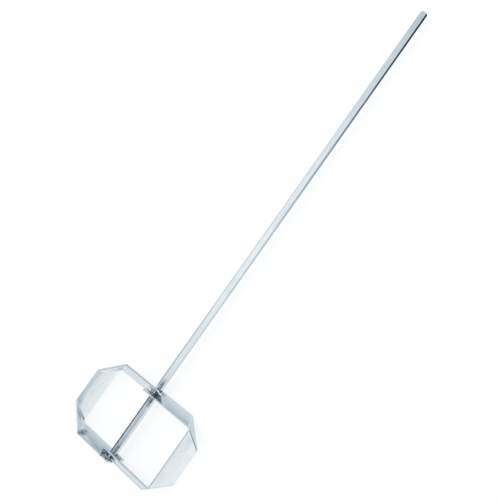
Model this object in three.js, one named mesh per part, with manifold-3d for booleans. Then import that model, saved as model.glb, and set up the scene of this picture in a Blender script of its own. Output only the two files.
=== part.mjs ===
// Mortar mixing paddle: a hex bar shaft carrying two half-frames folded from flat strip.
//
// Row frame, millimetres: +X runs along the shaft towards the drill chuck, +Z is up when the
// paddle lies on its face, and the origin is the centre of the shank's end face.
//
// Head frame, used inside the paddle head: local x points out along the right half-frame's arms,
// local z runs along the shaft towards the chuck, and the origin is on the shaft's axis midway
// between the arms. The left half-frame is the right one turned half a turn about the shaft.

import * as THREE from "three";
import { mergeVertices } from "three/addons/utils/BufferGeometryUtils.js";
import Module from "manifold-3d";

// ---- Driving dimensions ------------------------------------------------------------------------

const INCH = 25.4;
const TOTAL_LENGTH = 30 * INCH;
const HEX_ACROSS_FLATS = 0.375 * INCH;
const HEX_CLOCKING_DEG = -50;        // direction of one hex flat, about the shaft from local x
const STRIP_WIDTH = 1.125 * INCH;
const STRIP_THICKNESS = 2.5;

const ARM_SPACING = 103.6;           // between the two arms' middle planes, at the shaft
const ARM_PITCH_DEG = 23.2;          // each arm is tilted about its own length, like a blade
const ARM_TO_SHOULDER = 78.9;        // from the shaft's axis to the middle of the shoulder fold
const SHOULDER_SKEW_DEG = 134.2;     // the shoulder fold's direction, from the arm's direction
const SHOULDER_BEND_DEG = 55.8;
const CHAMFER_LENGTH = 26.9;         // middle of the shoulder fold to the middle of the blade fold
const BEND_RADIUS = 2.75;            // of the strip's middle surface
const BEND_SLICES = 8;

const FORK_REACH = 12.5;             // how far each fork runs past the shaft's axis
const FORK_SLOT_RADIUS = 6.9;        // the slot's half width and the radius of its bottom
const PRONG_CORNER_RADIUS = 2.5;
const SHAFT_BELOW_ARM = 7.3;         // the shaft's lower end, below the lower arm's middle plane

const PIN_DIAMETER = 4.8;
const PIN_LENGTH = 11;
const PIN_CUP_RADIUS = 1.5;          // of the cup drilled into each end of the pin
const PIN_CUP_DEPTH = 3;

const SHANK_CHAMFER = 1.8;           // along the shaft, at the chuck end
const TOE_CHAMFER = 0.6;
const CHAMFER_DEPTH_RATIO = 0.6;     // radial depth of a chamfer over its length
const ENVELOPE_CLEARANCE = 0.2;      // of the chamfers' turned envelope, off the hexagon's corners

const WELD_RADII = [3.3, 4.4, 2.4];  // of each bead: out along the arm, across it, along the shaft
const WELD_OFFSET = 6.6;             // from the shaft's axis to the bead's middle
const WELD_STANDOFF = 2.1;           // from the arm's middle plane to the bead's middle
const WELD_PARTING = 0.2;            // a bead ends this far off the arm's middle plane, at least
const GAP = 0.3;                     // kept between neighbouring solids
const ROUND_SEGMENTS = 32;
const MERGE_TOLERANCE = 1e-5;

const ZINC_LOOKS = {
  shaft: { color: 0xbcc7cf, roughness: 0.28 },
  strip: { color: 0xc3ccd2, roughness: 0.3 },
  weld: { color: 0xb4bbc0, roughness: 0.4 },
  pin: { color: 0xa9b0b6, roughness: 0.35 },
};
const ZINC_METALNESS = 0.9;

// ---- Derived places ----------------------------------------------------------------------------

const ARM_LEVEL = ARM_SPACING / 2;
const HEX_ACROSS_CORNERS = HEX_ACROSS_FLATS / Math.cos(Math.PI / 6);
const SHAFT_TOE = -(ARM_LEVEL + SHAFT_BELOW_ARM);
const SHAFT_TIP = SHAFT_TOE + TOTAL_LENGTH;
const HEX_CLOCKING = THREE.MathUtils.degToRad(HEX_CLOCKING_DEG);
const ARM_PITCH = THREE.MathUtils.degToRad(ARM_PITCH_DEG);
const BORE_LENGTH = 2 * PIN_LENGTH;  // of the cutters for the cross pins' bores, longer than a bore
const ENDS = [["upper", ARM_LEVEL], ["lower", -ARM_LEVEL]];

function zinc(name) {
  return new THREE.MeshStandardMaterial({ name, ...ZINC_LOOKS[name], metalness: ZINC_METALNESS });
}

// ---- Solids: joining and cutting ---------------------------------------------------------------

const wasm = await Module();
wasm.setup();

function toSolid(geometry) {
  const bare = geometry.clone();
  bare.deleteAttribute("normal");
  bare.deleteAttribute("uv");
  const merged = mergeVertices(bare, MERGE_TOLERANCE);
  return new wasm.Manifold(new wasm.Mesh({
    numProp: 3,
    vertProperties: new Float32Array(merged.attributes.position.array),
    triVerts: new Uint32Array(merged.index.array),
  }));
}

function toGeometry(solid) {
  const mesh = solid.getMesh();
  const geometry = new THREE.BufferGeometry();
  geometry.setAttribute("position", new THREE.BufferAttribute(mesh.vertProperties, mesh.numProp));
  geometry.setIndex(new THREE.BufferAttribute(mesh.triVerts, 1));
  geometry.computeVertexNormals();
  return geometry;
}

function placed(geometry, matrix) {
  return toSolid(geometry.clone().applyMatrix4(matrix));
}

// ---- Shaft -------------------------------------------------------------------------------------

// A hexagonal prism along local z, with a flat facing the clocking direction.
function hexPrism(acrossFlats, from, to) {
  const corners = Array.from({ length: 6 }, (_, i) => {
    const angle = HEX_CLOCKING + Math.PI / 6 + (i * Math.PI) / 3;
    const radius = acrossFlats / 2 / Math.cos(Math.PI / 6);
    return new THREE.Vector2(radius * Math.cos(angle), radius * Math.sin(angle));
  });
  const geometry = new THREE.ExtrudeGeometry(new THREE.Shape(corners), {
    depth: to - from,
    bevelEnabled: false,
  });
  return geometry.translate(0, 0, from);
}

// The turned envelope that takes the corners off both ends of the bar.
function turnedEnvelope() {
  const radius = HEX_ACROSS_CORNERS / 2 + ENVELOPE_CLEARANCE;
  const extra = ENVELOPE_CLEARANCE / CHAMFER_DEPTH_RATIO;
  const shankCut = SHANK_CHAMFER * CHAMFER_DEPTH_RATIO;
  const toeCut = TOE_CHAMFER * CHAMFER_DEPTH_RATIO;
  const profile = [
    [0, SHAFT_TOE],
    [HEX_ACROSS_CORNERS / 2 - toeCut, SHAFT_TOE],
    [radius, SHAFT_TOE + TOE_CHAMFER + extra],
    [radius, SHAFT_TIP - SHANK_CHAMFER - extra],
    [HEX_ACROSS_CORNERS / 2 - shankCut, SHAFT_TIP],
    [0, SHAFT_TIP],
  ].map(([r, z]) => new THREE.Vector2(r, z));
  return new THREE.LatheGeometry(profile, 2 * ROUND_SEGMENTS).rotateX(Math.PI / 2);
}

// A round bar along the cross pin's line, at the given height on the shaft.
function crossBar(radius, length, level) {
  const bar = new THREE.CylinderGeometry(radius, radius, length, ROUND_SEGMENTS);
  return bar.rotateZ(Math.PI / 2).rotateZ(HEX_CLOCKING).translate(0, 0, level);
}

// What a cross pin's bore takes out of its neighbours.
function pinBore(level) {
  return toSolid(crossBar(PIN_DIAMETER / 2 + GAP, BORE_LENGTH, level));
}

function shaftGeometry() {
  let solid = toSolid(hexPrism(HEX_ACROSS_FLATS, SHAFT_TOE, SHAFT_TIP)).intersect(
    toSolid(turnedEnvelope()),
  );
  for (const [, level] of ENDS) {
    solid = solid.subtract(pinBore(level));
  }
  return toGeometry(solid);
}

// ---- Cross pin: a plain round pin with a cup drilled into each end -------------------------------

function pinGeometry() {
  const half = PIN_LENGTH / 2;
  const floor = half - PIN_CUP_DEPTH;
  const profile = [
    [0, -floor],
    [PIN_CUP_RADIUS, -floor],
    [PIN_CUP_RADIUS, -half],
    [PIN_DIAMETER / 2, -half],
    [PIN_DIAMETER / 2, half],
    [PIN_CUP_RADIUS, half],
    [PIN_CUP_RADIUS, floor],
    [0, floor],
  ].map(([r, y]) => new THREE.Vector2(r, y));
  const geometry = new THREE.LatheGeometry(profile, ROUND_SEGMENTS);
  geometry.rotateZ(-Math.PI / 2).rotateZ(HEX_CLOCKING);
  return toGeometry(toSolid(geometry));
}

// ---- Half-frame: one strip, folded along slanting lines ----------------------------------------

// One panel of the strip: its direction of travel and the direction of its first edge.
function panel(along, across) {
  return { along, across, normal: new THREE.Vector3().crossVectors(along, across) };
}

function folded(from, foldLine, angle) {
  const turn = (v) => v.clone().applyAxisAngle(foldLine, angle);
  return panel(turn(from.along), turn(from.across));
}

// The line at a given skew in a panel, and the skew of the fold that turns a panel's travel
// to a wanted direction: such a fold makes the same angle with both directions.
function lineInPanel(from, skew) {
  return from.along
    .clone()
    .multiplyScalar(Math.cos(skew))
    .addScaledVector(from.across, Math.sin(skew));
}

function foldTowards(from, wanted) {
  const away = from.along.clone().sub(wanted);
  const skew = Math.atan2(from.along.dot(away), -from.across.dot(away));
  return skew < 0 ? skew + Math.PI : skew;
}

function bendBetween(from, wanted, foldLine) {
  const flat = (v) => v.clone().addScaledVector(foldLine, -v.dot(foldLine));
  const a = flat(from.along);
  const b = flat(wanted);
  return Math.atan2(new THREE.Vector3().crossVectors(a, b).dot(foldLine), a.dot(b));
}

// A crossing is a line over the strip from edge to edge, with the normal there.
function crossing(middle, line, skew, normal) {
  const reach = STRIP_WIDTH / 2 / Math.sin(skew);
  return {
    first: middle.clone().addScaledVector(line, reach),
    second: middle.clone().addScaledVector(line, -reach),
    normal,
  };
}

// The crossings of one round bend about a fold line through the given middle point.
function bendCrossings(from, middle, line, skew, angle) {
  const sense = Math.sign(angle);
  const size = Math.abs(angle);
  const tangent = BEND_RADIUS * Math.tan(size / 2);
  const start = middle.clone().addScaledVector(from.along, -tangent / Math.sin(skew));
  const toCentre = new THREE.Vector3().crossVectors(line, from.along).normalize();
  toCentre.multiplyScalar(sense);
  const centre = start.clone().addScaledVector(toCentre, BEND_RADIUS);
  const drift = (2 * tangent) / Math.tan(skew);
  return Array.from({ length: BEND_SLICES + 1 }, (_, i) => {
    const share = i / BEND_SLICES;
    const spoke = toCentre.clone().multiplyScalar(-BEND_RADIUS);
    const point = centre.clone().add(spoke.applyAxisAngle(line, angle * share));
    point.addScaledVector(line, drift * share);
    return crossing(point, line, skew, from.normal.clone().applyAxisAngle(line, angle * share));
  });
}

// All crossings of the strip, from the tip of its upper fork round to the tip of its lower one.
function stripCrossings() {
  const arm = panel(
    new THREE.Vector3(1, 0, 0),
    new THREE.Vector3(0, Math.cos(ARM_PITCH), Math.sin(ARM_PITCH)),
  );
  const shoulder = new THREE.Vector3(ARM_TO_SHOULDER, 0, ARM_LEVEL);
  const shoulderSkew = THREE.MathUtils.degToRad(SHOULDER_SKEW_DEG);
  const shoulderLine = lineInPanel(arm, shoulderSkew);
  const shoulderBend = THREE.MathUtils.degToRad(SHOULDER_BEND_DEG);

  const chamfer = folded(arm, shoulderLine, shoulderBend);
  const down = new THREE.Vector3(0, 0, -1);
  const corner = shoulder.clone().addScaledVector(chamfer.along, CHAMFER_LENGTH);
  const cornerSkew = foldTowards(chamfer, down);
  const cornerLine = lineInPanel(chamfer, cornerSkew);
  const cornerBend = bendBetween(chamfer, down, cornerLine);

  const tip = new THREE.Vector3(-FORK_REACH, 0, ARM_LEVEL);
  const upper = [
    crossing(tip, arm.across, Math.PI / 2, arm.normal),
    ...bendCrossings(arm, shoulder, shoulderLine, shoulderSkew, shoulderBend),
    ...bendCrossings(chamfer, corner, cornerLine, cornerSkew, cornerBend),
  ];
  const mirror = new THREE.Vector3(1, 1, -1);
  const lower = upper.map(({ first, second, normal }) => ({
    first: first.clone().multiply(mirror),
    second: second.clone().multiply(mirror),
    normal: normal.clone().multiply(mirror),
  }));
  return [...upper, ...lower.reverse()];
}

// The strip as one closed solid: four corners at each crossing, a quad between each pair.
function stripGeometry(thickness) {
  const corners = stripCrossings().map(({ first, second, normal }) => {
    const lift = normal.clone().multiplyScalar(thickness / 2);
    return [
      first.clone().add(lift),
      second.clone().add(lift),
      second.clone().sub(lift),
      first.clone().sub(lift),
    ];
  });
  const positions = corners.flat().flatMap((p) => p.toArray());
  const index = [];
  const quad = (a, b, c, d) => index.push(a, c, b, a, d, c);
  for (let i = 0; i + 1 < corners.length; i += 1) {
    for (let side = 0; side < 4; side += 1) {
      const next = (side + 1) % 4;
      quad(4 * i + side, 4 * (i + 1) + side, 4 * (i + 1) + next, 4 * i + next);
    }
  }
  const last = 4 * (corners.length - 1);
  quad(0, 1, 2, 3);
  quad(last + 3, last + 2, last + 1, last);
  const geometry = new THREE.BufferGeometry();
  geometry.setAttribute("position", new THREE.Float32BufferAttribute(positions, 3));
  geometry.setIndex(index);
  return geometry;
}

// ---- Fork: the open slot at each end of the strip, which straddles the shaft --------------------

// Arm coordinates: x out along the arm from the shaft's axis, y across it, z out of it.
function armFrame(end) {
  const frame = new THREE.Matrix4().makeRotationX(ARM_PITCH).setPosition(0, 0, ARM_LEVEL);
  const mirror = new THREE.Matrix4().makeScale(1, 1, -1);
  return end === "upper" ? frame : mirror.multiply(frame);
}

// A prism over an outline in arm coordinates, reaching well past both faces of the strip.
function armPrism(end, outline) {
  const reach = STRIP_WIDTH / 2;
  const geometry = new THREE.ExtrudeGeometry(outline, {
    depth: 2 * reach,
    bevelEnabled: false,
    curveSegments: ROUND_SEGMENTS / 2,
  });
  geometry.translate(0, 0, -reach);
  const solid = toSolid(geometry);
  return solid.transform(armFrame(end).toArray());
}

// Everything outside the two prongs: the open slot between them and their rounded corners.
function forkCut(slotRadius) {
  const edge = STRIP_WIDTH / 2;
  const round = PRONG_CORNER_RADIUS;
  const outside = 2 * edge;
  const beyond = -4 * FORK_REACH;
  const cut = new THREE.Shape();
  cut.moveTo(round - FORK_REACH, -outside);
  cut.lineTo(round - FORK_REACH, -edge);
  cut.absarc(round - FORK_REACH, round - edge, round, -Math.PI / 2, -Math.PI, true);
  cut.lineTo(-FORK_REACH, -slotRadius);
  cut.lineTo(0, -slotRadius);
  cut.absarc(0, 0, slotRadius, -Math.PI / 2, Math.PI / 2, false);
  cut.lineTo(-FORK_REACH, slotRadius);
  cut.lineTo(-FORK_REACH, edge - round);
  cut.absarc(round - FORK_REACH, edge - round, round, Math.PI, Math.PI / 2, true);
  cut.lineTo(round - FORK_REACH, outside);
  cut.lineTo(beyond, outside);
  cut.lineTo(beyond, -outside);
  cut.closePath();
  return cut;
}

function forkedStrip(thickness, slotRadius) {
  let solid = toSolid(stripGeometry(thickness));
  for (const end of ["upper", "lower"]) {
    solid = solid.subtract(armPrism(end, forkCut(slotRadius)));
  }
  return solid;
}

// ---- Welds: a bead on each face of an arm where its slot's bottom meets the shaft --------------

function weldGeometry(level, face) {
  const blob = new THREE.SphereGeometry(1, ROUND_SEGMENTS, ROUND_SEGMENTS / 2);
  const place = new THREE.Matrix4()
    .makeTranslation(WELD_OFFSET, 0, level + face * WELD_STANDOFF)
    .scale(new THREE.Vector3(...WELD_RADII));
  const sleeve = hexPrism(HEX_ACROSS_FLATS + 2 * GAP, SHAFT_TOE, SHAFT_TIP);
  const half = STRIP_WIDTH;
  const away = new THREE.BoxGeometry(2 * half, 2 * half, 2 * half);
  away.translate(0, 0, level - face * (half - WELD_PARTING));
  const solid = placed(blob, place)
    .subtract(toSolid(sleeve))
    .subtract(forkedStrip(STRIP_THICKNESS + 2 * GAP, FORK_SLOT_RADIUS - GAP))
    .subtract(toSolid(away))
    .subtract(pinBore(level));
  return toGeometry(solid);
}

// ---- Assembly ----------------------------------------------------------------------------------

function named(name, geometry, material) {
  const mesh = new THREE.Mesh(geometry, material);
  mesh.name = name;
  return mesh;
}

function halfFrame(side) {
  const group = new THREE.Group();
  const strip = toGeometry(forkedStrip(STRIP_THICKNESS, FORK_SLOT_RADIUS));
  group.add(named(`${side}_half_frame`, strip, zinc("strip")));
  for (const [end, level] of ENDS) {
    for (const [place, face] of [["outer", Math.sign(level)], ["inner", -Math.sign(level)]]) {
      const weld = weldGeometry(level, face);
      group.add(named(`${end}_${side}_${place}_weld`, weld, zinc("weld")));
    }
  }
  return group;
}

const head = new THREE.Group();
head.add(named("hex_shaft", shaftGeometry(), zinc("shaft")));

head.add(halfFrame("right"));
const leftHalf = halfFrame("left");
leftHalf.rotation.z = Math.PI;
head.add(leftHalf);

for (const [end, level] of ENDS) {
  const pin = named(`${end}_cross_pin`, pinGeometry(), zinc("pin"));
  pin.position.z = level;
  head.add(pin);
}

// local x, y and z of the head become -Y, -Z and +X of the row
const headToRow = new THREE.Matrix4().makeBasis(
  new THREE.Vector3(0, -1, 0),
  new THREE.Vector3(0, 0, -1),
  new THREE.Vector3(1, 0, 0),
);
head.setRotationFromMatrix(headToRow);
head.position.x = -SHAFT_TIP;

const paddle = new THREE.Group();
paddle.add(head);

export default paddle;
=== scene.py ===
"""Looks of the mortar mixing paddle: a zinc-plated hexagonal bar with two folded strip half-frames.

Shapes are made in the head frame: x out along the right half-frame's arms, z along the shaft
towards the chuck, origin on the shaft's axis midway between the arms. Each piece is then moved
to the row frame: +X along the shaft out of the shank's end, +Z up, origin at that end's centre.
"""

import math

import bmesh
import bpy
from mathutils import Matrix, Vector, noise


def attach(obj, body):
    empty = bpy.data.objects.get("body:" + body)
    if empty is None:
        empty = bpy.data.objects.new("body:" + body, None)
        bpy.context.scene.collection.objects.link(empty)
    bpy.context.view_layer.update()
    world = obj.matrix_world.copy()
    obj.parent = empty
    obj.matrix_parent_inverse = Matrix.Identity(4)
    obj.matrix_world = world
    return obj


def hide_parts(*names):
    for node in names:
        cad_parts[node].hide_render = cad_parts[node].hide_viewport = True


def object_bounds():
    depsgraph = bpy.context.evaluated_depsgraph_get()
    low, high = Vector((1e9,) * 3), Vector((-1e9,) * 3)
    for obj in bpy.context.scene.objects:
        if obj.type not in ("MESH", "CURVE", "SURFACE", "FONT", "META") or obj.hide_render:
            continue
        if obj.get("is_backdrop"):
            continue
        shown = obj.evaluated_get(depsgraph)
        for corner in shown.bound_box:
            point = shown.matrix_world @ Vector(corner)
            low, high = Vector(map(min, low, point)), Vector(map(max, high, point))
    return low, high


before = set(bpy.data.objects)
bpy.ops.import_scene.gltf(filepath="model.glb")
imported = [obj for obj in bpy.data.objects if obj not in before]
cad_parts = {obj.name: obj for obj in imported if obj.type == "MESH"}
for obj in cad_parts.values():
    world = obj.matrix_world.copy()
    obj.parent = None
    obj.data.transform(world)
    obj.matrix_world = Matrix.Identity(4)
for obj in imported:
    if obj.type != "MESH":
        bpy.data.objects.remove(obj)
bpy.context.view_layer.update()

# ---- Dimensions, in metres, as in the CAD ----------------------------------------------------

MM = 0.001
HEX_FLATS = 9.525 * MM
HEX_CLOCKING = math.radians(-50)  # direction of the pins' flat, about the shaft from x
STRIP_WIDTH = 28.575 * MM
STRIP_THICKNESS = 2.5 * MM
ARM_LEVEL = 51.8 * MM
ARM_PITCH = math.radians(23.2)
SHOULDER_AT = 78.9 * MM
SHOULDER_SKEW = math.radians(134.2)
SHOULDER_BEND = math.radians(55.8)
CHAMFER_LENGTH = 26.9 * MM
BEND_RADIUS = 2.75 * MM
FORK_REACH = 12.5 * MM
SLOT_RADIUS = 6.9 * MM
PRONG_CORNER = 2.5 * MM
SHAFT_TOE = -59.1 * MM
SHAFT_TIP = 702.9 * MM
PIN_RADIUS = 2.4 * MM
PIN_CUP = 1.5 * MM
PIN_CUP_DEPTH = 3 * MM
PIN_LENGTH = 11 * MM
WELD_OFFSET = 6.6 * MM
WELD_STANDOFF = 2.1 * MM

ENDS = (("upper", ARM_LEVEL), ("lower", -ARM_LEVEL))
HEAD_TO_ROW = Matrix(((0, 0, 1, -SHAFT_TIP), (-1, 0, 0, 0), (0, -1, 0, 0), (0, 0, 0, 1)))
HALF_TURN = Matrix.Rotation(math.pi, 4, "Z")

# ---- Finer shape, which only the looks have ---------------------------------------------------

HEX_APOTHEM = HEX_FLATS / 2
HEX_CORNER = HEX_APOTHEM / math.cos(math.pi / 6)
HEX_ROLL = 0.35 * MM  # radius of the bar's rolled corners
HEX_ROLL_STEPS = 4
FLAT_CORE = 2.05 * MM  # half width of the truly flat middle of each of the bar's flats
CORNER_FROM = 5.3 * MM  # the bar's surface is a corner where it is further than this from the axis
SHAFT_STEP = 4 * MM
# How the bar's ends are turned, in millimetres: inwards from its corners, and from the end's face.
TOE_TURNING = ((0.7, 0), (0.45, 0.25), (-0.2, 1.2))
TIP_TURNING = ((-0.2, 2.2), (0.2, 1.45), (0.95, 0.3), (1.3, 0))
ENVELOPE_SEGMENTS = 96
BORE_CLEARANCE = 0.12 * MM
BORE_LENGTH = 40 * MM
BORE_SEGMENTS = 64
PIN_SEGMENTS = 48

SLOT_STEPS = 32
PRONG_STEPS = 8
EDGE_EASING = 0.4 * MM  # radius of the strip's eased edges
EDGE_STEPS = 4
FOLD_STEPS = 14
PANEL_STEP = 8 * MM
FIRST_PANEL_CUT = 20 * MM
FOLD_KEEP_OFF = 19 * MM  # the cuts across the panels stay this far from the folds

WELD_RADII = (3.2, 4.2, 2.3)  # in millimetres: out along the arm, across it, along the shaft
WELD_LUMP = 0.12
WELD_LUMP_SCALE = 1.7
WELD_LUMP_SHIFT = 7.1
WELD_RIPPLE = 0.05
WELD_RIPPLES = 9
WELD_CREVICE_SCALE = 420

# ---- Plating ---------------------------------------------------------------------------------

CLOUD_SCALE = (45, 110, 110)
SPANGLE_SCALE = (260, 420, 420)
PIT_SCALE = (1100, 1100, 1100)
STREAK_SHADE = 0.80
BLOOM_SHADE = 1.07
BLOOM_SHARE = 0.55
BURNT_AND_SHADE_MATT = 0.16
HIGHLIGHT_SPOT_MATT = 0.30
GRAIN_RELIEF = 0.6
PIT_RELIEF = 0.25
SPANGLE_RELIEF = 0.8
BUMP_STRENGTH = 0.35

# Painted shade: dark spots in the crevices round the joints and on the arms beside them. Each is a
# centre in the head frame, radius, both in millimetres, and strength.
PAINTED_SHADE_COLOUR = (0.012, 0.025, 0.038, 1)
PAINTED_SHADE_SPOTS = [
    ((4.4, 1.5, 57.0), 3.0, 0.98),
    ((5.6, -1.5, 56.5), 2.2, 0.90),
    ((14.0, -12.0, 47.1), 2.8, 0.62),
    ((9.5, -9.0, 50.4), 2.2, 0.70),
    ((-4.4, -9.5, 54.5), 3.2, 0.72),
    ((-8.4, -7.4, -53.6), 3.8, 0.90),
    ((4.6, 2.0, -46.0), 3.0, 0.96),
    ((12.3, -7.1, -53.6), 2.6, 0.85),
    ((5.4, -12.1, -55.6), 2.2, 0.70),
    ((-4.5, -13.0, -57.0), 2.2, 0.70),
    ((-63.5, -8.0, -55.0), 7.5, 0.66),
    ((-68.5, -1.5, -52.3), 6.0, 0.55),
    ((-88.7, -5.0, -40.1), 6.0, 0.24),
]
# Painted highlights: white spots at the welds, given in the same way.
PAINTED_HIGHLIGHT_COLOUR = (1.0, 1.0, 1.0, 1)
PAINTED_HIGHLIGHT_SPOTS = [
    ((-5.1, -8.5, 49.5), 2.2, 0.95),
    ((-7.2, -6.5, 51.5), 1.5, 0.80),
    ((7.4, -2.5, 54.0), 1.6, 0.85),
    ((1.6, -6.2, -54.0), 3.0, 1.00),
    ((4.6, -9.0, -54.6), 1.8, 0.90),
    ((-3.4, -7.6, -52.6), 1.8, 0.75),
    ((7.0, -3.5, -51.0), 1.6, 0.70),
]
SPOT_RAGGED = 0.2  # how far a spot's edge wanders, as a share of its radius
SPOT_RAGGED_SCALE = 420.0

# Darker places on the strips: a painted reflection of the shaft, painted shade in a pocket, a
# ragged halo round each slot and the sheared edges. Reach is the distance along the strip from a
# slot's round bottom's centre. A mark ends on a slanting line, given by its reach on the strip's
# middle line and by how much that grows with the distance from the middle line.
SHAFT_REFLECTION_REACH = 11.4 * MM
SHAFT_REFLECTION_SLOPE = 1.5
POCKET_SHADE_REACH = 20.6 * MM
POCKET_SHADE_SLOPE = -1.04
SHAFT_SHADOW = (4 * MM, 7 * MM)  # the marks fade in between these reaches
FACE_FROM = (0.6 * MM, 1.0 * MM)  # a point this far out of the middle surface is on a face
HALO_SPAN = (12 * MM, 20 * MM)
HALO_RAGGED = 9 * MM
HALO_RAGGED_SCALE = (330, 330, 330)
HALO_DEPTH = 0.62
SHEARED_SPAN = (13.95 * MM, 14.2 * MM)
SHEARED_DEPTH = 0.32

# Painted shade on the shaft, near the arms and between them.
FLAT_FROM = (4.60 * MM, 4.70 * MM)  # a point this far out along a flat's normal is on that flat
LEFTWARD_SPAN = (1.5 * MM, 4.0 * MM)
LEFTWARD_LOSS = 0.45
NEAR_ARM_SPAN = (-27 * MM, -11 * MM)
BETWEEN_ARMS_BLUR = 2 * MM
NEAR_ARM_DEPTH = 1.45
BETWEEN_PIN_FLAT_DEPTH = 0.24
BETWEEN_LEFT_FLAT_DEPTH = 0.9

# ---- Stage, light and camera ------------------------------------------------------------------

FLOOR_GAP = 0.5 * MM
FLOOR_SIZE = 6
FLOOR_MIDDLE = -0.4
FLOOR_GREY = 0.4
FLOOR_GLOW = 0.72

# The room round the object: white, with soft darker stretches that give the plating its shades.
# Each entry is a direction in the row frame, how tight the stretch is, and how dark it is.
ROOM_SHADES = [
    ((0.42, -0.36, -0.83), 55, 0.93),
    ((0.42, -0.36, -0.83), 15, 0.84),
    ((0.40, -0.35, -0.85), 200, 0.90),
    ((0.0, -0.38, -0.92), 10, 0.06),
    ((-0.30, -0.54, -0.79), 30, 0.30),
    ((0.68, 0.73, 0.0), 10.9, 0.95),
    ((-0.28, -0.58, 0.76), 55, 0.85),
    ((0.62, -0.5, 0.60), 15, 0.80),
    ((-0.28, 0.95, 0.12), 25, 0.60),
    ((-0.16, 0.975, 0.12), 150, 0.75),
    ((0.0, 0.5, -0.87), 4, 0.30),
    ((-0.25, 0.55, -0.80), 70, 0.40),
    ((-0.52, 0.70, -0.48), 100, 0.12),
    ((0.42, 0.28, -0.87), 60, 0.32),
    ((-0.1, -0.98, -0.1), 25, 0.20),
    ((0.0, 0.3, 0.95), 30, -1.6),
    ((1.0, 0.0, 0.0), 6, 0.45),
    ((-1.0, 0.0, 0.0), 6, 0.45),
    ((0.0, 0.75, 0.66), 10, 0.50),
    ((0.7, 0.0, 0.7), 9, 0.50),
    ((-0.7, 0.0, 0.7), 9, 0.50),
    ((-0.25, -0.88, 0.42), 20, 0.35),
    ((0.0, -0.94, -0.34), 300, 0.30),
]
ROOM_WHITE = 1.0
SHADE_TINT = (1.0, 0.80, 0.66)  # power of each colour channel: the shades are slightly blue

CAMERA_AIM = (-417.5 * MM, 11 * MM, 0)  # where the middle of the view meets the shaft's level
CAMERA_DISTANCE = 1372.7 * MM
CAMERA_HEADING = math.radians(7.55)  # from +Y towards +X
CAMERA_DOWNWARD = math.radians(46.51)
CAMERA_ROLL = math.radians(49.25)  # how far its top leans to its right
CAMERA_LENS = 71.4  # this and the sensor's width are in millimetres
CAMERA_SENSOR = 36
CAMERA_CLIP_END = 50


# ---- Small mesh tools ------------------------------------------------------------------------


def object_from(name, bm):
    """Turns a bmesh in the head frame into an object in the row frame."""
    mesh = bpy.data.meshes.new(name)
    bm.transform(HEAD_TO_ROW)
    bmesh.ops.recalc_face_normals(bm, faces=bm.faces[:])
    bm.to_mesh(mesh)
    bm.free()
    made = bpy.data.objects.new(name, mesh)
    bpy.context.scene.collection.objects.link(made)
    return made


def new_piece(name, bm, material, node):
    """An object that stands for a node of the CAD and rides on the one rigid body."""
    piece = object_from(name, bm)
    piece.data.materials.append(material)
    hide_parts(node)
    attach(piece, "root")
    return piece


def smooth_by_angle(piece, degrees):
    piece.data.shade_smooth()
    piece.data.set_sharp_from_angle(angle=math.radians(degrees))


def revolved(profile, segments):
    """A closed solid of revolution about z, from (radius, z) pairs."""
    bm = bmesh.new()
    rings = []
    for r, z in profile:
        ring = []
        for i in range(segments):
            a = 2 * math.pi * i / segments
            ring.append(bm.verts.new((r * math.cos(a), r * math.sin(a), z)))
        rings.append(ring)
    close_tube(bm, rings)
    return bm


def close_tube(bm, rings):
    """Faces between neighbouring rings of vertices, and one over each end."""
    count = len(rings[0])
    for low, high in zip(rings, rings[1:]):
        for i in range(count):
            j = (i + 1) % count
            bm.faces.new((low[i], low[j], high[j], high[i]))
    bm.faces.new(list(reversed(rings[0])))
    bm.faces.new(rings[-1])


def along_pin(bm, level):
    """Moves a solid made along z onto the cross pin's line at a height on the shaft."""
    bm.transform(
        Matrix.Translation((0, 0, level))
        @ Matrix.Rotation(HEX_CLOCKING, 4, "Z")
        @ Matrix.Rotation(math.pi / 2, 4, "Y")
    )
    return bm


def cut(piece, tool, operation):
    """Applies a boolean with a tool, and removes the tool."""
    modifier = piece.modifiers.new("cut", "BOOLEAN")
    modifier.operation = operation
    modifier.solver = "EXACT"
    modifier.object = tool
    graph = bpy.context.evaluated_depsgraph_get()
    mesh = bpy.data.meshes.new_from_object(piece.evaluated_get(graph))
    piece.modifiers.clear()
    old = piece.data
    piece.data = mesh
    bpy.data.meshes.remove(old)
    bpy.data.objects.remove(tool)


def store_flat(piece):
    """Stores the coordinates that the grain follows: the piece's own place in the row frame."""
    attribute = piece.data.attributes.new("flat", "FLOAT_VECTOR", "POINT")
    attribute.data.foreach_set("vector", [c for v in piece.data.vertices for c in v.co])


def store_burnt_and_shade(piece, burnt_at):
    """Stores how dark each vertex is painted, from 0 to 1: painted shade on the shaft and in the
    pins' cups, burnt specks on the welds.
    """
    attribute = piece.data.attributes.new("burnt_and_shade", "FLOAT", "POINT")
    attribute.data.foreach_set("value", [burnt_at(v.co) for v in piece.data.vertices])


def eased(value, low, high):
    """A smooth step from 0 at low to 1 at high."""
    share = min(1.0, max(0.0, (value - low) / (high - low)))
    return share * share * (3 - 2 * share)


# ---- The strip's flat pattern -----------------------------------------------------------------


def turned(v, axis, angle):
    return Matrix.Rotation(angle, 3, axis) @ v


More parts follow.
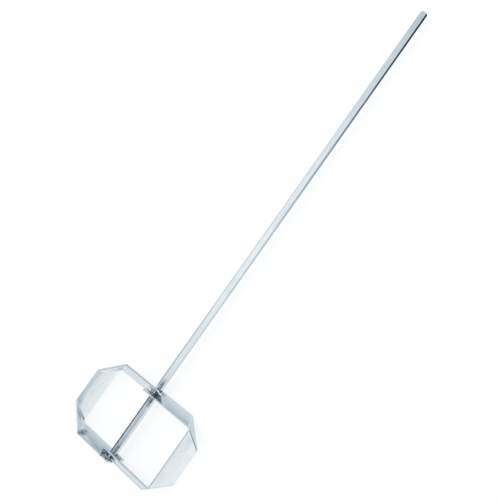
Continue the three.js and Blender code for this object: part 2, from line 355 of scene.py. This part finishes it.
def fold_chain():
    """The four folds of the strip as sharp fold lines in its flat state, and its far end.

    Flat state: u along the strip, v across it, w out of it, with u = 0 at the upper fork's
    place on the shaft. Each fold is (u of its middle, skew, angle).
    """
    across = Vector((0, math.cos(ARM_PITCH), math.sin(ARM_PITCH)))
    along = Vector((1, 0, 0))
    line = along * math.cos(SHOULDER_SKEW) + across * math.sin(SHOULDER_SKEW)
    along2 = turned(along, line, SHOULDER_BEND)
    across2 = turned(across, line, SHOULDER_BEND)
    down = Vector((0, 0, -1))
    away = along2 - down
    skew2 = math.atan2(along2.dot(away), -across2.dot(away)) % math.pi
    line2 = along2 * math.cos(skew2) + across2 * math.sin(skew2)
    before = along2 - line2 * along2.dot(line2)
    after = down - line2 * down.dot(line2)
    angle2 = math.atan2(before.cross(after).dot(line2), before.dot(after))
    corner_at = Vector((SHOULDER_AT, 0, ARM_LEVEL)) + along2 * CHAMFER_LENGTH
    blade = 2 * corner_at.z
    u1 = SHOULDER_AT
    u2 = u1 + CHAMFER_LENGTH
    u3 = u2 + blade
    u4 = u3 + CHAMFER_LENGTH
    folds = [
        (u1, SHOULDER_SKEW, SHOULDER_BEND),
        (u2, skew2, angle2),
        (u3, math.pi - skew2, angle2),
        (u4, math.pi - SHOULDER_SKEW, SHOULDER_BEND),
    ]
    return folds, u4 + SHOULDER_AT


FOLDS, STRIP_END = fold_chain()


def fold_frame(fold):
    """Origin, direction along the fold line, direction over it, and the tangent length."""
    u, skew, angle = fold
    line = Vector((math.cos(skew), math.sin(skew), 0))
    over = Vector((math.sin(skew), -math.cos(skew), 0))
    return Vector((u, 0, 0)), line, over, BEND_RADIUS * math.tan(abs(angle) / 2)


def bend_about(moved, flat, fold):
    """Rolls a point over a fold line on a round bend; before the bend it stays where it is."""
    origin, line, over, tangent = fold_frame(fold)
    angle = fold[2]
    q = (flat - origin).dot(over)
    if q <= -tangent:
        return moved
    if q >= tangent:
        return origin + turned(moved - origin, line, angle)
    sense = 1 if angle > 0 else -1
    share = (q + tangent) / (2 * tangent)
    start = origin - over * tangent + line * (flat - origin).dot(line)
    towards = line.cross(over) * sense
    centre = start + towards * BEND_RADIUS
    arm = BEND_RADIUS - sense * (moved.z * line.cross(over).z)
    return centre + turned(-towards * arm, line, angle * share)


def folded(point):
    """Where a point of the flat strip goes when every fold is made, in the head frame."""
    flat = Vector((point.x, point.y, 0))
    moved = point.copy()
    for fold in reversed(FOLDS):
        moved = bend_about(moved, flat, fold)
    along = Vector((1, 0, 0))
    across = Vector((0, math.cos(ARM_PITCH), math.sin(ARM_PITCH)))
    normal = along.cross(across)
    start = Vector((0, 0, ARM_LEVEL))
    return start + along * moved.x + across * moved.y + normal * moved.z


# ---- Shader tools ----------------------------------------------------------------------------


def nodes_of(name):
    material = bpy.data.materials.new(name)
    material.use_nodes = True
    tree = material.node_tree
    shader = next(n for n in tree.nodes if n.type == "BSDF_PRINCIPLED")
    return material, tree, shader


def add(tree, kind, **settings):
    node = tree.nodes.new(kind)
    for key, value in settings.items():
        setattr(node, key, value)
    return node


def stored_flat(tree):
    return add(tree, "ShaderNodeAttribute", attribute_name="flat").outputs["Vector"]


def stretched_coords(tree, scale):
    """The stored flat coordinates, scaled differently along and across the grain."""
    mapping = add(tree, "ShaderNodeMapping", vector_type="POINT")
    mapping.inputs["Scale"].default_value = scale
    tree.links.new(stored_flat(tree), mapping.inputs["Vector"])
    return mapping.outputs["Vector"]


def noise_at(tree, coords, detail, roughness=0.55, scale=1.0):
    node = add(tree, "ShaderNodeTexNoise")
    node.inputs["Scale"].default_value = scale
    node.inputs["Detail"].default_value = detail
    node.inputs["Roughness"].default_value = roughness
    tree.links.new(coords, node.inputs["Vector"])
    return node.outputs["Fac"]


def ranged(tree, value, from_low, from_high, to_low, to_high):
    """Maps one range to another, and holds the ends."""
    node = add(tree, "ShaderNodeMapRange", clamp=True)
    for key, number in (
        ("From Min", from_low),
        ("From Max", from_high),
        ("To Min", to_low),
        ("To Max", to_high),
    ):
        node.inputs[key].default_value = number
    tree.links.new(value, node.inputs["Value"])
    return node.outputs["Result"]


def mixed(tree, factor, a, b):
    """Mixes two colours, each given as a value or as a socket."""
    node = add(tree, "ShaderNodeMix", data_type="RGBA")
    tree.links.new(factor, node.inputs[0])
    for index, value in ((6, a), (7, b)):
        if isinstance(value, tuple):
            node.inputs[index].default_value = value
        else:
            tree.links.new(value, node.inputs[index])
    return node.outputs[2]


def math_node(tree, operation, a, b=0.0):
    node = add(tree, "ShaderNodeMath", operation=operation)
    for index, value in ((0, a), (1, b)):
        if isinstance(value, (int, float)):
            node.inputs[index].default_value = value
        else:
            tree.links.new(value, node.inputs[index])
    return node.outputs[0]


def product(tree, *factors):
    total = factors[0]
    for factor in factors[1:]:
        total = math_node(tree, "MULTIPLY", total, factor)
    return total


def inverted(tree, value):
    return math_node(tree, "SUBTRACT", 1.0, value)


# ---- Materials -------------------------------------------------------------------------------


def spots(tree, places):
    """Ragged round places on the object: 0 outside them, up to each one's strength inside."""
    here = add(tree, "ShaderNodeTexCoord").outputs["Object"]
    waves = noise_at(tree, here, detail=3, scale=SPOT_RAGGED_SCALE)
    wobble = ranged(tree, waves, 0.3, 0.7, -SPOT_RAGGED, SPOT_RAGGED)
    total = None
    for place, radius, strength in places:
        gap = add(tree, "ShaderNodeVectorMath", operation="DISTANCE")
        tree.links.new(here, gap.inputs[0])
        gap.inputs[1].default_value = HEAD_TO_ROW @ (Vector(place) * MM)
        ragged = math_node(tree, "MULTIPLY", wobble, radius * MM)
        ragged = math_node(tree, "ADD", gap.outputs["Value"], ragged)
        spot = ranged(tree, ragged, radius * 0.5 * MM, radius * 1.1 * MM, strength, 0)
        total = spot if total is None else math_node(tree, "MAXIMUM", total, spot)
    return total


def strip_marks(tree, is_right):
    """Darker places on the strips, drawn in their flat coordinates: u along, v across, w out.

    Round each slot the plating is darker in a ragged halo. A slanting patch on the right half's
    upper arm is a painted reflection of the shaft, and a pocket on the left half's lower arm is
    painted shade.
    """
    parts = add(tree, "ShaderNodeSeparateXYZ")
    tree.links.new(stored_flat(tree), parts.inputs[0])
    u, v, w = parts.outputs
    half = STRIP_END / 2
    upper = ranged(tree, u, half - 1 * MM, half + 1 * MM, 1, 0)
    to_middle = math_node(tree, "ABSOLUTE", math_node(tree, "SUBTRACT", u, half))
    reach = math_node(tree, "SUBTRACT", half, to_middle)

    def within(limit, slope, side):
        """1 on one side of the middle line, as far as the slanting line there."""
        aside = math_node(tree, "MULTIPLY", v, side)
        line = math_node(tree, "ADD", math_node(tree, "MULTIPLY", aside, slope), limit)
        over = math_node(tree, "SUBTRACT", reach, line)
        edge = ranged(tree, over, -0.6 * MM, 0.6 * MM, 1, 0)
        return product(tree, edge, ranged(tree, aside, -0.3 * MM, 0.9 * MM, 0, 1))

    inner, outer = FACE_FROM
    outward = ranged(tree, w, inner, outer, 0, 1)
    inward = ranged(tree, w, -outer, -inner, 1, 0)
    past_shaft = ranged(tree, reach, *SHAFT_SHADOW, 0, 1)
    near_pocket = ranged(tree, reach, *SHAFT_SHADOW, 0.5, 1)
    # painted reflection of the shaft on the right half's upper arm
    shaft_reflection = within(SHAFT_REFLECTION_REACH, SHAFT_REFLECTION_SLOPE, -1)
    shaft_reflection = product(tree, shaft_reflection, outward, upper, is_right, past_shaft)
    # painted shade in the pocket on the left half's lower arm
    pocket_shade = within(POCKET_SHADE_REACH, POCKET_SHADE_SLOPE, 1)
    pocket_shade = product(
        tree, pocket_shade, inward, inverted(tree, upper), inverted(tree, is_right), near_pocket
    )

    squared = math_node(tree, "ADD", product(tree, reach, reach), product(tree, v, v))
    radius = math_node(tree, "SQRT", squared)
    ragged = noise_at(tree, stretched_coords(tree, HALO_RAGGED_SCALE), detail=2)
    radius = math_node(tree, "ADD", radius, math_node(tree, "MULTIPLY", ragged, HALO_RAGGED))
    halo = ranged(tree, radius, *HALO_SPAN, HALO_DEPTH, 0)
    # the sheared edges of the strip are duller than its faces
    sheared = ranged(tree, math_node(tree, "ABSOLUTE", v), *SHEARED_SPAN, 0, SHEARED_DEPTH)
    marks = math_node(tree, "MAXIMUM", math_node(tree, "MAXIMUM", shaft_reflection, pocket_shade), halo)
    return math_node(tree, "MAXIMUM", marks, sheared)


def zinc_material(
    name, light, dark, burnt_and_shade, rough, grain_scale, grain_share, bump_depth, marks=None
):
    """Bright zinc plating: drawn grain, cloudy patches, small pits, dull burnt specks, painted
    shade and painted highlights.

    The grain and clouds follow the piece's stored "flat" coordinates. Its stored darkening
    attribute says where painted shade (on the welds, burnt specks) goes, unless marks works that
    out from it. Spots of painted shade and of white painted highlight lie on every piece.
    """
    material, tree, shader = nodes_of(name)
    shader.inputs["Metallic"].default_value = 1.0

    clouds = noise_at(tree, stretched_coords(tree, CLOUD_SCALE), detail=3)
    grain = noise_at(tree, stretched_coords(tree, grain_scale), detail=5, roughness=0.62)
    spangle = noise_at(tree, stretched_coords(tree, SPANGLE_SCALE), detail=2, roughness=0.5)
    pits = noise_at(tree, stretched_coords(tree, PIT_SCALE), detail=2)

    base = mixed(tree, ranged(tree, clouds, 0.36, 0.64, 0, 1), dark, light)
    streak = tuple(STREAK_SHADE * c for c in light[:3]) + (1,)
    base = mixed(tree, ranged(tree, grain, 0.46, 0.72, 0.0, grain_share), base, streak)
    bloom = tuple(min(1, BLOOM_SHADE * c) for c in light[:3]) + (1,)
    base = mixed(tree, ranged(tree, spangle, 0.52, 0.70, 0.0, BLOOM_SHARE), base, bloom)

    # painted shade on the shaft, in the pins' cups and (worked out by marks) on the strips; burnt
    # specks on the welds
    mark = add(tree, "ShaderNodeAttribute", attribute_name="burnt_and_shade").outputs["Fac"]
    if marks:
        mark = marks(tree, mark)
    blotch = ranged(tree, spangle, 0.38, 0.60, 0.55, 1.0)
    burn_and_shade = math_node(tree, "MULTIPLY", mark, blotch)
    base = mixed(tree, burn_and_shade, base, burnt_and_shade)
    # painted shade: dark spots round the joints
    base = mixed(tree, spots(tree, PAINTED_SHADE_SPOTS), base, PAINTED_SHADE_COLOUR)
    # painted highlights: white spots at the welds
    highlight_spots = spots(tree, PAINTED_HIGHLIGHT_SPOTS)
    base = mixed(tree, highlight_spots, base, PAINTED_HIGHLIGHT_COLOUR)
    tree.links.new(base, shader.inputs["Base Color"])

    matt = ranged(tree, clouds, 0.3, 0.7, *rough)
    matt = math_node(tree, "ADD", matt, ranged(tree, grain, 0.35, 0.65, -0.03, 0.05))
    matt = math_node(tree, "ADD", matt, math_node(tree, "MULTIPLY", burn_and_shade, BURNT_AND_SHADE_MATT))
    matt = math_node(tree, "ADD", matt, math_node(tree, "MULTIPLY", highlight_spots, HIGHLIGHT_SPOT_MATT))
    tree.links.new(matt, shader.inputs["Roughness"])

    relief = math_node(tree, "MULTIPLY", grain, GRAIN_RELIEF)
    relief = math_node(tree, "ADD", relief, math_node(tree, "MULTIPLY", pits, PIT_RELIEF))
    relief = math_node(tree, "ADD", relief, math_node(tree, "MULTIPLY", spangle, SPANGLE_RELIEF))
    bump = add(tree, "ShaderNodeBump")
    bump.inputs["Strength"].default_value = BUMP_STRENGTH
    bump.inputs["Distance"].default_value = bump_depth
    tree.links.new(relief, bump.inputs["Height"])
    tree.links.new(bump.outputs["Normal"], shader.inputs["Normal"])
    return material


strip_zinc = zinc_material(
    "strip_zinc",
    light=(0.92, 0.95, 0.955, 1),
    dark=(0.84, 0.885, 0.905, 1),
    # colour of the painted shade and painted reflection on the strips
    burnt_and_shade=(0.11, 0.165, 0.23, 1),
    rough=(0.14, 0.24),
    grain_scale=(25, 700, 700),
    grain_share=0.28,
    bump_depth=0.00005,
    marks=strip_marks,
)
bar_zinc = zinc_material(
    "bar_zinc",
    light=(0.97, 0.985, 0.99, 1),
    dark=(0.87, 0.915, 0.94, 1),
    # colour of the painted shade on the shaft
    burnt_and_shade=(0.075, 0.105, 0.15, 1),
    rough=(0.07, 0.15),
    grain_scale=(18, 900, 900),
    grain_share=0.7,
    bump_depth=0.00005,
)
weld_zinc = zinc_material(
    "weld_zinc",
    light=(1.0, 1.0, 1.0, 1),
    dark=(0.78, 0.84, 0.88, 1),
    burnt_and_shade=(0.05, 0.07, 0.10, 1),
    rough=(0.10, 0.24),
    grain_scale=(500, 500, 500),
    grain_share=0.6,
    bump_depth=0.00015,
)
pin_zinc = zinc_material(
    "pin_zinc",
    light=(0.90, 0.94, 0.95, 1),
    dark=(0.66, 0.72, 0.77, 1),
    # nearly black: the painted shade in the pins' cups
    burnt_and_shade=(0.01, 0.013, 0.018, 1),
    rough=(0.14, 0.26),
    grain_scale=(400, 1200, 400),
    grain_share=0.5,
    bump_depth=0.00004,
)


# ---- Shaft -----------------------------------------------------------------------------------

PIN_WAY = HEAD_TO_ROW.to_3x3() @ Vector((math.cos(HEX_CLOCKING), math.sin(HEX_CLOCKING), 0))
LEFT_WAY = Matrix.Rotation(math.radians(-60), 3, "X") @ PIN_WAY


def shaft_piece():
    """Hexagonal bar with rolled corners, before its ends are turned and its bores are cut."""
    section = []
    for i in range(6):
        corner_angle = HEX_CLOCKING + math.pi / 6 + i * math.pi / 3
        inner = (HEX_APOTHEM - HEX_ROLL) / math.cos(math.pi / 6)
        centre = Vector((inner * math.cos(corner_angle), inner * math.sin(corner_angle)))
        for k in range(HEX_ROLL_STEPS + 1):
            a = corner_angle - math.pi / 6 + k / HEX_ROLL_STEPS * math.pi / 3
            section.append(centre + HEX_ROLL * Vector((math.cos(a), math.sin(a))))
        out = Vector((math.cos(a), math.sin(a)))
        aside = Vector((-out.y, out.x))
        for share in (-1, 1):
            section.append(out * HEX_APOTHEM + aside * share * FLAT_CORE)

    levels = [SHAFT_TOE]
    while levels[-1] < SHAFT_TIP - SHAFT_STEP:
        levels.append(min(levels[-1] + SHAFT_STEP, SHAFT_TIP))
    levels[-1] = SHAFT_TIP
    bm = bmesh.new()
    close_tube(bm, [[bm.verts.new((p.x, p.y, z)) for p in section] for z in levels])
    return bm


def shaft_envelope():
    """The turned solid that takes the corners off both ends of the bar."""
    toe = [(HEX_CORNER - inset * MM, SHAFT_TOE + along * MM) for inset, along in TOE_TURNING]
    tip = [(HEX_CORNER - inset * MM, SHAFT_TIP - along * MM) for inset, along in TIP_TURNING]
    return revolved(toe + tip, ENVELOPE_SEGMENTS)


def pin_bore(level):
    """The cutter for a cross pin's bore."""
    radius = PIN_RADIUS + BORE_CLEARANCE
    bar = revolved([(radius, -BORE_LENGTH / 2), (radius, BORE_LENGTH / 2)], BORE_SEGMENTS)
    return along_pin(bar, level)


def painted_shade_on_flats(spoke, z):
    """How much painted shade the pins' flat and the flat to its left get, at a place on the shaft's
    surface.
    """
    middle = eased(spoke.dot(PIN_WAY), *FLAT_FROM)
    left = eased(spoke.dot(LEFT_WAY), *FLAT_FROM)
    # the pins' flat is marked more on the side away from the left flat
    leftward = eased(spoke.dot(LEFT_WAY), *LEFTWARD_SPAN)
    middle *= 1.0 - LEFTWARD_LOSS * leftward
    if spoke.length > CORNER_FROM:
        middle *= 0.15 if leftward > 0.5 else 0.45
        left *= 1.0 if spoke.dot(PIN_WAY) < 0 else 0.1
    reach = min(abs(z - ARM_LEVEL), abs(z + ARM_LEVEL))
    near_arm = eased(-reach, *NEAR_ARM_SPAN)
    between = eased(ARM_LEVEL - abs(z), -BETWEEN_ARMS_BLUR, BETWEEN_ARMS_BLUR)
    both_flats = BETWEEN_PIN_FLAT_DEPTH * middle + BETWEEN_LEFT_FLAT_DEPTH * left
    return min(1, max(NEAR_ARM_DEPTH * near_arm * middle, between * both_flats))


def painted_shade_on_shaft(c):
    """Painted shade beside the arms and between them, the same on the shaft's front and back."""
    spoke = Vector((0, c.y, c.z))
    z = c.x + SHAFT_TIP
    return max(painted_shade_on_flats(spoke, z), painted_shade_on_flats(-spoke, z))


shaft = new_piece("shaft_bar", shaft_piece(), bar_zinc, "hex_shaft")
cut(shaft, object_from("envelope", shaft_envelope()), "INTERSECT")
for end, level in ENDS:
    cut(shaft, object_from(f"{end}_bore", pin_bore(level)), "DIFFERENCE")
smooth_by_angle(shaft, 25)
store_flat(shaft)
# painted shade on the shaft near the arms and between them
store_burnt_and_shade(shaft, painted_shade_on_shaft)


# ---- Cross pins ------------------------------------------------------------------------------


def pin_piece(level):
    """A plain pin with eased ends and a cup drilled into each."""
    half = PIN_LENGTH / 2
    deep = half - PIN_CUP_DEPTH
    one_end = [
        (PIN_CUP - 0.5 * MM, deep - 0.2 * MM),
        (PIN_CUP, deep),
        (PIN_CUP, half - 0.2 * MM),
        (PIN_CUP + 0.15 * MM, half),
        (PIN_RADIUS - 0.45 * MM, half),
        (PIN_RADIUS - 0.1 * MM, half - 0.3 * MM),
        (PIN_RADIUS, half - 0.6 * MM),
    ]
    profile = [(r, -z) for r, z in one_end] + one_end[::-1]
    return along_pin(revolved(profile, PIN_SEGMENTS), level)


for end, level in ENDS:
    pin = new_piece(f"{end}_cross_peg", pin_piece(level), pin_zinc, f"{end}_cross_pin")
    smooth_by_angle(pin, 30)
    store_flat(pin)
    middle = HEAD_TO_ROW @ Vector((0, 0, level))

    def cup_shade(c):
        """1 on the cups' walls and bottoms, which are painted nearly black as shade."""
        spoke = c - middle
        spoke -= PIN_WAY * spoke.dot(PIN_WAY)
        return 1.0 if spoke.length < PIN_CUP + 0.05 * MM else 0.0

    store_burnt_and_shade(pin, cup_shade)


# ---- Half-frames -----------------------------------------------------------------------------


def fork_end(sign, at):
    """One end of the strip's outline, from a prong's outer corner round the slot to the other."""
    half = STRIP_WIDTH / 2
    lower = []
    for k in range(PRONG_STEPS + 1):
        a = -math.pi / 2 - math.pi / 2 * k / PRONG_STEPS
        x = PRONG_CORNER - FORK_REACH + PRONG_CORNER * math.cos(a)
        y = PRONG_CORNER - half + PRONG_CORNER * math.sin(a)
        lower.append(Vector((x, y)))
    lower += [Vector((-FORK_REACH, -SLOT_RADIUS)), Vector((0, -SLOT_RADIUS))]
    bottom = []
    for k in range(1, SLOT_STEPS):
        a = -math.pi / 2 + math.pi * k / SLOT_STEPS
        bottom.append(Vector((SLOT_RADIUS * math.cos(a), SLOT_RADIUS * math.sin(a))))
    upper = [Vector((p.x, -p.y)) for p in reversed(lower)]
    return [Vector((at + sign * p.x, p.y)) for p in lower + bottom + upper]


def cut_across(bm, origin, over):
    """A cut through all of a mesh, in the plane at origin with the normal over."""
    geometry = bm.verts[:] + bm.edges[:] + bm.faces[:]
    bmesh.ops.bisect_plane(bm, geom=geometry, plane_co=origin, plane_no=over, dist=1e-7)


def half_frame_piece(side):
    """The strip with its two forks, made flat, eased along its edges, and folded."""
    outline = fork_end(1, 0.0)[::-1] + fork_end(-1, STRIP_END)
    bm = bmesh.new()
    flat_layer = bm.verts.layers.float_vector.new("flat")
    burnt_and_shade_layer = bm.verts.layers.float.new("burnt_and_shade")
    bottom = [bm.verts.new((p.x, p.y, -STRIP_THICKNESS / 2)) for p in outline]
    top = [bm.verts.new((p.x, p.y, STRIP_THICKNESS / 2)) for p in outline]
    close_tube(bm, [bottom, top])
    bmesh.ops.recalc_face_normals(bm, faces=bm.faces[:])

    # rolled edges of the strip and eased sheared edges of the forks
    rim = [e for e in bm.edges if abs(e.verts[0].co.z - e.verts[1].co.z) < 1e-9]
    bmesh.ops.bevel(
        bm,
        geom=rim,
        offset=EDGE_EASING,
        offset_type="OFFSET",
        segments=EDGE_STEPS,
        profile=0.5,
        affect="EDGES",
    )

    # cuts across the strip: fine inside each bend, coarse along the panels
    for fold in FOLDS:
        origin, _, over, tangent = fold_frame(fold)
        for k in range(FOLD_STEPS + 1):
            q = -tangent + 2 * tangent * k / FOLD_STEPS
            cut_across(bm, origin + over * q, over)
    u = FIRST_PANEL_CUT
    while u < STRIP_END - FOLD_KEEP_OFF:
        if all(abs(u - fold[0]) > FOLD_KEEP_OFF for fold in FOLDS):
            cut_across(bm, Vector((u, 0, 0)), Vector((1, 0, 0)))
        u += PANEL_STEP
    for v in bm.verts:
        v[flat_layer] = v.co.copy()
        # the strips' marks are worked out from their place, so this only tells the halves apart
        v[burnt_and_shade_layer] = 1.0 if side == "right" else 0.0
        v.co = folded(v.co)
    if side == "left":
        bm.transform(HALF_TURN)
    return bm


for side in ("right", "left"):
    half = new_piece(
        f"{side}_half_strip", half_frame_piece(side), strip_zinc, f"{side}_half_frame"
    )
    smooth_by_angle(half, 30)


# ---- Welds -----------------------------------------------------------------------------------


def weld_piece(side, level, face, seed):
    """A lumpy weld bead between the shaft and the bottom of an arm's slot."""
    bm = bmesh.new()
    bmesh.ops.create_icosphere(bm, subdivisions=5, radius=1.0)
    out, across, along = WELD_RADII
    for v in bm.verts:
        lump = noise.noise(v.co * WELD_LUMP_SCALE + Vector((seed * WELD_LUMP_SHIFT, 0, 0)))
        ripple = WELD_RIPPLE * math.sin(WELD_RIPPLES * v.co.y + seed)
        v.co *= 1 + WELD_LUMP * lump + ripple
        v.co = Vector((v.co.x * out, v.co.y * across, v.co.z * along)) * MM
        v.co += Vector((WELD_OFFSET, 0, level + face * WELD_STANDOFF))
    if side == "left":
        bm.transform(HALF_TURN)
    return bm


def burnt_in_crevices(c):
    return eased(noise.noise(c * WELD_CREVICE_SCALE), 0.02, 0.22)


seed = 0
for end, level in ENDS:
    for side in ("right", "left"):
        for place, face in (("outer", 1), ("inner", -1)):
            seed += 1
            toward = face if level > 0 else -face
            weld = new_piece(
                f"{end}_{side}_{place}_bead",
                weld_piece(side, level, toward, seed),
                weld_zinc,
                f"{end}_{side}_{place}_weld",
            )
            smooth_by_angle(weld, 60)
            store_flat(weld)
            store_burnt_and_shade(weld, burnt_in_crevices)


# ---- The stage -------------------------------------------------------------------------------


def floor_piece(height):
    """The plain white floor: seen by the camera, but left out of the plating's reflections."""
    material, _, shader = nodes_of("floor")
    shader.inputs["Base Color"].default_value = (FLOOR_GREY, FLOOR_GREY, FLOOR_GREY, 1)
    shader.inputs["Roughness"].default_value = 0.9
    shader.inputs["Specular IOR Level"].default_value = 0.1
    shader.inputs["Emission Color"].default_value = (1, 1, 1, 1)
    shader.inputs["Emission Strength"].default_value = FLOOR_GLOW
    bm = bmesh.new()
    bmesh.ops.create_grid(bm, x_segments=1, y_segments=1, size=FLOOR_SIZE)
    mesh = bpy.data.meshes.new("floor")
    bm.to_mesh(mesh)
    bm.free()
    mesh.materials.append(material)
    piece = bpy.data.objects.new("floor", mesh)
    piece.location = (FLOOR_MIDDLE, 0, height)
    piece.visible_glossy = False
    bpy.context.scene.collection.objects.link(piece)
    piece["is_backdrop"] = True


def studio_world():
    """The white room, and its darker stretches, which only the plating's reflections see."""
    world = bpy.data.worlds.new("studio")
    world.use_nodes = True
    tree = world.node_tree
    background = next(n for n in tree.nodes if n.type == "BACKGROUND")
    direction = add(tree, "ShaderNodeTexCoord").outputs["Generated"]
    light = ROOM_WHITE
    for towards, tightness, depth in ROOM_SHADES:
        dot = add(tree, "ShaderNodeVectorMath", operation="DOT_PRODUCT")
        dot.inputs[1].default_value = Vector(towards).normalized()
        tree.links.new(direction, dot.inputs[0])
        off_axis = math_node(tree, "SUBTRACT", dot.outputs["Value"], 1.0)
        share = math_node(tree, "EXPONENT", math_node(tree, "MULTIPLY", off_axis, tightness))
        kept = math_node(tree, "SUBTRACT", 1.0, math_node(tree, "MULTIPLY", share, depth))
        light = math_node(tree, "MULTIPLY", light, kept)
    colour = add(tree, "ShaderNodeCombineXYZ")
    for index, tint in enumerate(SHADE_TINT):
        tree.links.new(math_node(tree, "POWER", light, tint), colour.inputs[index])
    seen = add(tree, "ShaderNodeLightPath").outputs["Is Camera Ray"]
    shown = mixed(tree, seen, colour.outputs["Vector"], (1, 1, 1, 1))
    tree.links.new(shown, background.inputs["Color"])
    background.inputs["Strength"].default_value = 1.0
    return world


def camera_object():
    """The camera that stands where the photo's view was taken from."""
    data = bpy.data.cameras.new("camera")
    data.lens = CAMERA_LENS
    data.sensor_width = CAMERA_SENSOR
    data.clip_end = CAMERA_CLIP_END
    facing = (
        Matrix.Rotation(-CAMERA_HEADING, 4, "Z")
        @ Matrix.Rotation(math.pi / 2 - CAMERA_DOWNWARD, 4, "X")
        @ Matrix.Rotation(-CAMERA_ROLL, 4, "Z")
    )
    back = facing @ Vector((0, 0, CAMERA_DISTANCE))
    camera = bpy.data.objects.new("camera", data)
    camera.matrix_world = Matrix.Translation(Vector(CAMERA_AIM) + back) @ facing
    bpy.context.scene.collection.objects.link(camera)
    return camera


floor_piece(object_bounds()[0].z - FLOOR_GAP)
bpy.context.scene.world = studio_world()
bpy.context.scene.camera = camera_object()
bpy.context.scene.view_settings.view_transform = "Standard"
